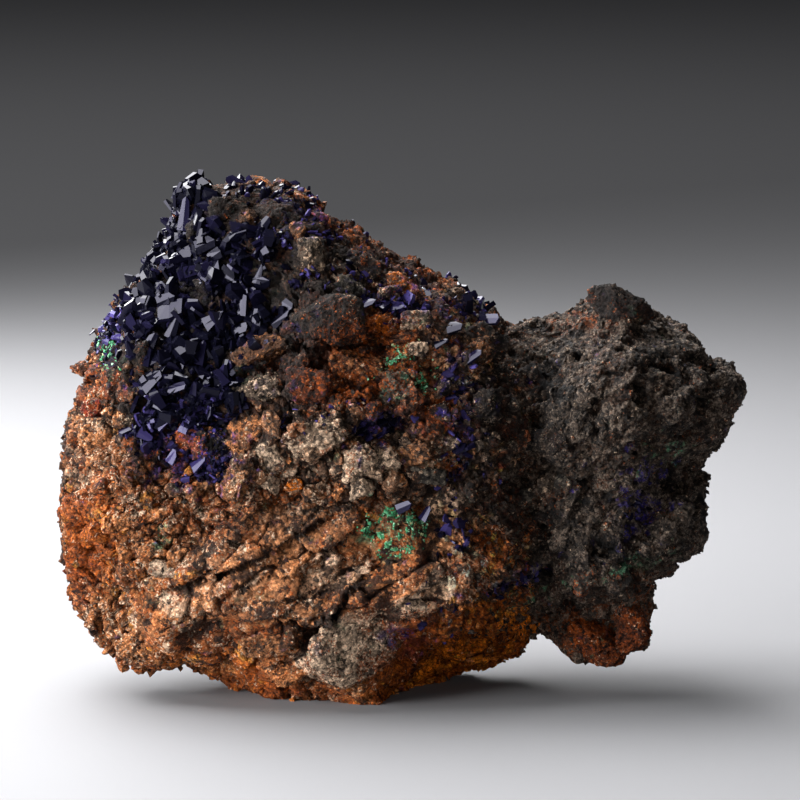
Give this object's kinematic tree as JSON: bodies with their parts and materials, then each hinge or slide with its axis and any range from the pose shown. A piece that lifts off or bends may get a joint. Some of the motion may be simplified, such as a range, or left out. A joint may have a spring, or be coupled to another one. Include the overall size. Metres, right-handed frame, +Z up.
{
  "type": "azurite and malachite specimen",
  "caption": "Rough block of iron-stained ore matrix with a crust of dark blue azurite blades in a hollow at its upper left and small green malachite crusts, resting on a flat spot.",
  "frame": {"origin": "on the flat spot under the pale mass that the specimen rests on, at mid depth", "axes": "+X to the right along the longest side as the crystals face the viewer, +Y into the rock away from the crystal face, +Z up"},
  "size_m": [0.1724, 0.091, 0.1294],
  "materials": {
    "matrix": "rough, iron-stained, pale on the left and near-black gossan on the right",
    "azurite": "glassy, dark blue",
    "malachite": "dull to silky, green"
  },
  "bodies": {
    "root": {"matrix": "matrix", "azurite_pocket": "azurite", "azurite_ridge": "azurite", "azurite_upper_seam": "azurite", "azurite_middle": "azurite", "azurite_right_seam": "azurite", "azurite_shelf": "azurite", "malachite_knob": "malachite", "malachite_patch": "malachite", "malachite_left_edge": "malachite"}
  },
  "joints": []
}
